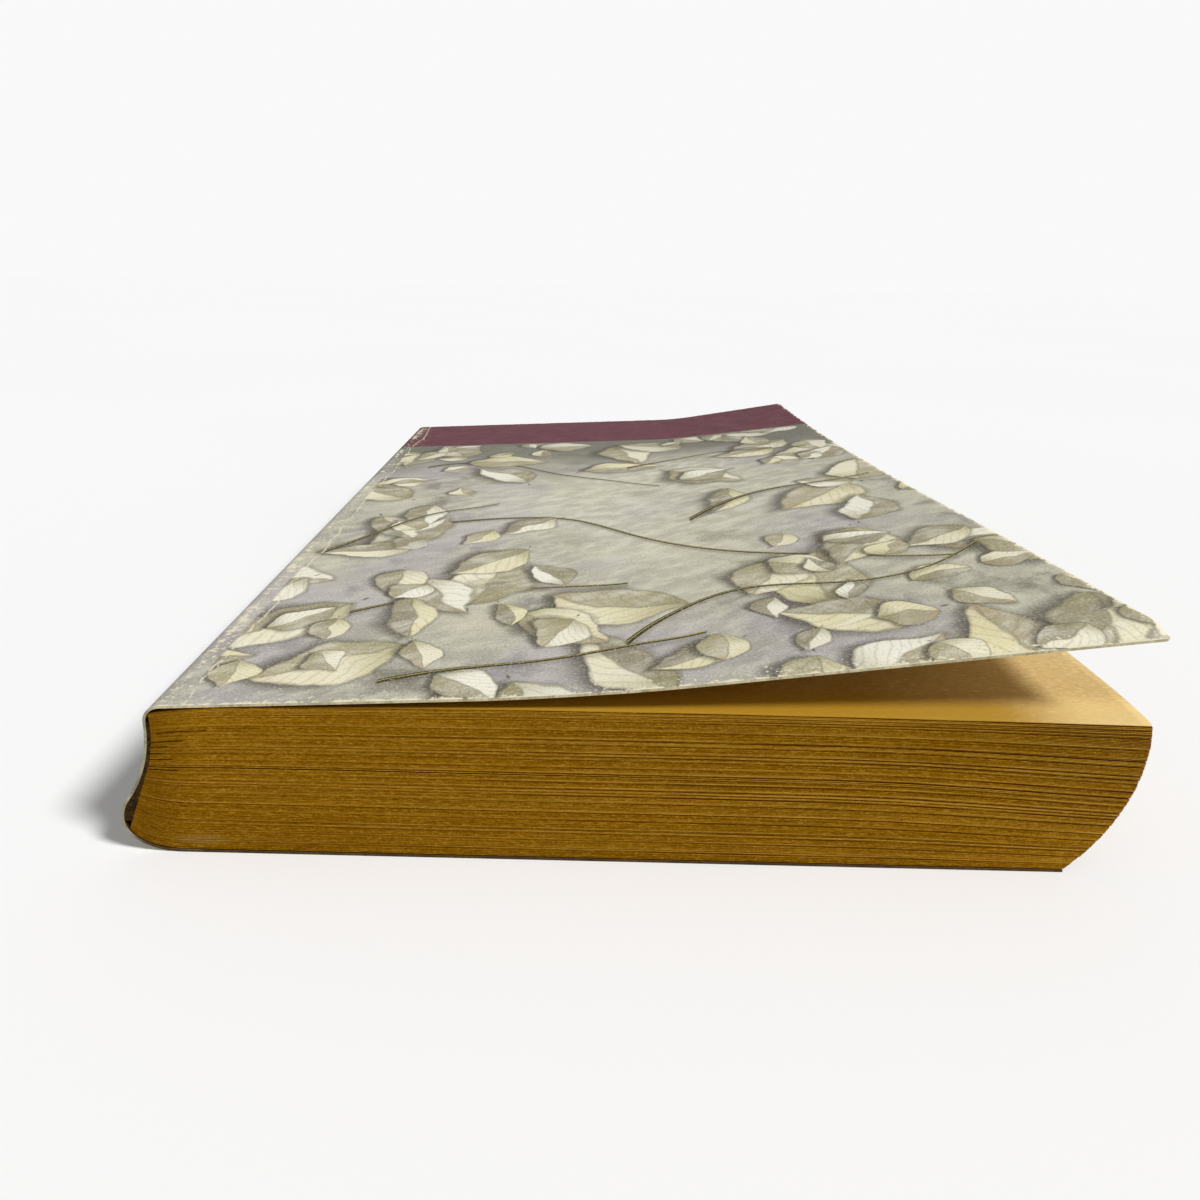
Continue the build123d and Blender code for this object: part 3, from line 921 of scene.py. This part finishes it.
def page_leaves():
    """All leaves in one piece. They lie close at the spine and part into bundles towards the fore-edge."""
    mesh = bmesh.new()
    layer = mesh.verts.layers.float_vector.new("leaf")
    sheets = []
    for leaf in made_leaves():
        sheets += formed_sheet(mesh, layer, len(STATIONS), len(ROWS), partial(leaf_vertex, leaf))
    for face in sheets:
        face.smooth = True
    _, rim = thicken(mesh, sheets, LEAF * MM)
    bmesh.ops.translate(mesh, verts=mesh.verts, vec=(0, 0, -LEAF / 2 * MM))
    for face in rim:
        face.material_index = 1
        face.smooth = False
    bmesh.ops.recalc_face_normals(mesh, faces=mesh.faces)
    return object_from(mesh, "page_leaves", leaf_face_finish(), page_edge_finish())


# Covers

SEAM = HOLLOW_START - HOLLOW_LENGTH * 0.6  # where the two sheets of the wrapper meet on the spine
SEAM_STRIP = 0.3
NEAR_EDGE = (0.0, 0.25, 0.6, 1.1, 1.6, 2.4)  # rows by the tail and the head
EDGE_STRIP = 4.0
CREASED_STRIP = 6.0


def wrapper_sheet(name, columns, rows, finishes, shape):
    """A slab of card formed along the wrapper, with print outside, plain card inside and rubbed edges."""
    mesh = bmesh.new()
    layer = mesh.verts.layers.float_vector.new("sheet")

    def form(column, row):
        along, y = columns[column], rows[row]
        return shape(along, y), Vector((along, y - TAIL, 0.0))

    outer = formed_sheet(mesh, layer, len(columns), len(rows), form)
    far, rim = thicken(mesh, outer, -CARD * MM)
    for face in mesh.faces:
        face.smooth = True
    for face in far:
        face.material_index = 1
    for face in rim:
        face.material_index = 2
        face.smooth = False
    bmesh.ops.recalc_face_normals(mesh, faces=mesh.faces)
    return object_from(mesh, name, *finishes)


def front_shape(along, y):
    """Front cover with its worn corners and its turned-down tail edge."""
    inset = min(y - TAIL, HEAD - y)
    recess = 0.0
    if inset < COVER_CORNER:
        recess = COVER_CORNER - sqrt(COVER_CORNER ** 2 - (COVER_CORNER - inset) ** 2)
    along -= recess * smooth(COVER_REACH - CORNER_RUN, COVER_REACH, along)
    x, z = wrapper_point(along, y)
    past_crease = max(0.0, x - SPINE_X - TAIL_SECTION[1])
    turned = (tan(radians(TAIL_SECTION[2])) - TAIL_EDGE_SLOPE) * past_crease
    return Vector((x, y, z - turned * (1 - smooth(0.0, TURNED_EDGE, y - TAIL))))


def back_shape(along, y):
    x, z = wrapper_point(along, y)
    return Vector((x, y, z))


def cover_rows(pitch):
    """Rows of a cover's mesh, closer by the tail and the head."""
    tail, head = [TAIL + step for step in NEAR_EDGE], [HEAD - step for step in reversed(NEAR_EDGE)]
    return tail + spread(TAIL + EDGE_STRIP, HEAD - EDGE_STRIP, pitch) + [HEAD - EDGE_STRIP] + head


def front_wrapper(finishes):
    """Front cover and the upper half of the spine as one sheet that bends at the fold."""
    columns = spread(SEAM, SEAM + SEAM_STRIP, 0.1) + spread(SEAM + SEAM_STRIP, HOLLOW_START, 1.0)
    columns += spread(HOLLOW_START, 0.0, 0.35) + spread(0.0, CREASED_STRIP, 0.4)
    columns += spread(CREASED_STRIP, COVER_REACH - EDGE_STRIP, 2.2)
    columns += spread(COVER_REACH - EDGE_STRIP, COVER_REACH, 0.8) + [COVER_REACH]
    return wrapper_sheet("front_wrapper", columns, cover_rows(3.2), finishes, front_shape)


def back_wrapper(finishes):
    """Back cover and the lower half of the spine as one sheet that bends at the roll."""
    columns = spread(SEAM, SEAM - SEAM_STRIP, 0.1) + spread(SEAM - SEAM_STRIP, FOOT_START, 1.0)
    columns += spread(FOOT_START, FLAT_START, 0.4) + spread(FLAT_START, BACK_END, 4.0) + [BACK_END]
    return wrapper_sheet("back_wrapper", list(reversed(columns)), cover_rows(6.0), finishes, back_shape)


pages = page_leaves()
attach(pages, "book")
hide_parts("page_block")

wrapper_finishes = print_finish(), card_inside_finish(), card_edge_finish()
front = front_wrapper(wrapper_finishes)
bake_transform(front)
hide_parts("front_cover", "spine_panel")
back = back_wrapper(wrapper_finishes)
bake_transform(back)
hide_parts("back_cover")

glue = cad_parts["spine_glue"]
glue.data.materials.clear()
glue.data.materials.append(glue_finish().material)


# Floor, light and camera

FLOOR_SIZE = 4.0
FLOOR_WHITES = (0.92, 0.92, 0.92, 1), (0.94, 0.94, 0.94, 1)
SUN_STRENGTH = 3.1
SUN_ANGLE = 13
SUN_FROM = (0.622, -0.300, 0.723)
ROOM_LIGHT = 0.30
ROOM_SEEN = 0.95


def floor_finish():
    """Matt pale paper sweep."""
    sweep = Finish("floor_sweep", Roughness=0.95, Specular_IOR_Level=0.0)
    tint = sweep.noise(sweep.point(*sweep.place()), 0.004, 2.0)
    sweep.finish(Base_Color=sweep.mix(tint, *FLOOR_WHITES))
    return sweep


sweep = bmesh.new()
bmesh.ops.create_grid(sweep, x_segments=1, y_segments=1, size=FLOOR_SIZE)
floor = object_from(sweep, "floor", floor_finish())


def daylight():
    """Sun through a soft window on the right, in front of the fore-edge, and an even white room."""
    lamp = bpy.data.lights.new("window", "SUN")
    lamp.energy = SUN_STRENGTH
    lamp.angle = radians(SUN_ANGLE)
    made = bpy.data.objects.new("window", lamp)
    made.rotation_mode = "QUATERNION"
    made.rotation_quaternion = Vector(SUN_FROM).to_track_quat("Z", "Y")
    bpy.context.scene.collection.objects.link(made)
    room = bpy.data.worlds.new("room")
    room.use_nodes = True
    nodes, links = room.node_tree.nodes, room.node_tree.links
    backdrop = nodes.new("ShaderNodeMix")
    backdrop.data_type = "FLOAT"
    backdrop.inputs[2].default_value = ROOM_LIGHT
    backdrop.inputs[3].default_value = ROOM_SEEN
    links.new(nodes.new("ShaderNodeLightPath").outputs["Is Camera Ray"], backdrop.inputs[0])
    nodes["Background"].inputs["Color"].default_value = (1.0, 1.0, 1.0, 1)
    links.new(backdrop.outputs[0], nodes["Background"].inputs["Strength"])
    bpy.context.scene.world = room


daylight()
bpy.context.scene.view_settings.view_transform = "Standard"

# Camera fitted to the photograph: pixels of its square picture, degrees and millimetres
IMAGE = 1200
FOCAL_PIXELS = 831.54
AXIS_PIXEL = 560.0
SENSOR = 36.0
YAW, PITCH, ROLL = 0.3971, 19.1193, 1.0766
CAMERA_PLACE = (-8.762, -161.709, 62.884)
camera = bpy.data.cameras.new("camera")
camera.sensor_width = SENSOR
camera.lens = FOCAL_PIXELS * SENSOR / IMAGE
camera.shift_x = (IMAGE / 2 - AXIS_PIXEL) / IMAGE
camera.shift_y = (AXIS_PIXEL - IMAGE / 2) / IMAGE
camera.clip_start = 0.01
view = bpy.data.objects.new("camera", camera)
bpy.context.scene.collection.objects.link(view)
aim = Matrix.Rotation(radians(YAW), 4, "Z") @ Matrix.Rotation(pi / 2 - radians(PITCH), 4, "X")
turned = aim @ Matrix.Rotation(radians(ROLL), 4, "Z")
view.matrix_world = Matrix.Translation(Vector(CAMERA_PLACE) * MM) @ turned
bpy.context.scene.camera = view
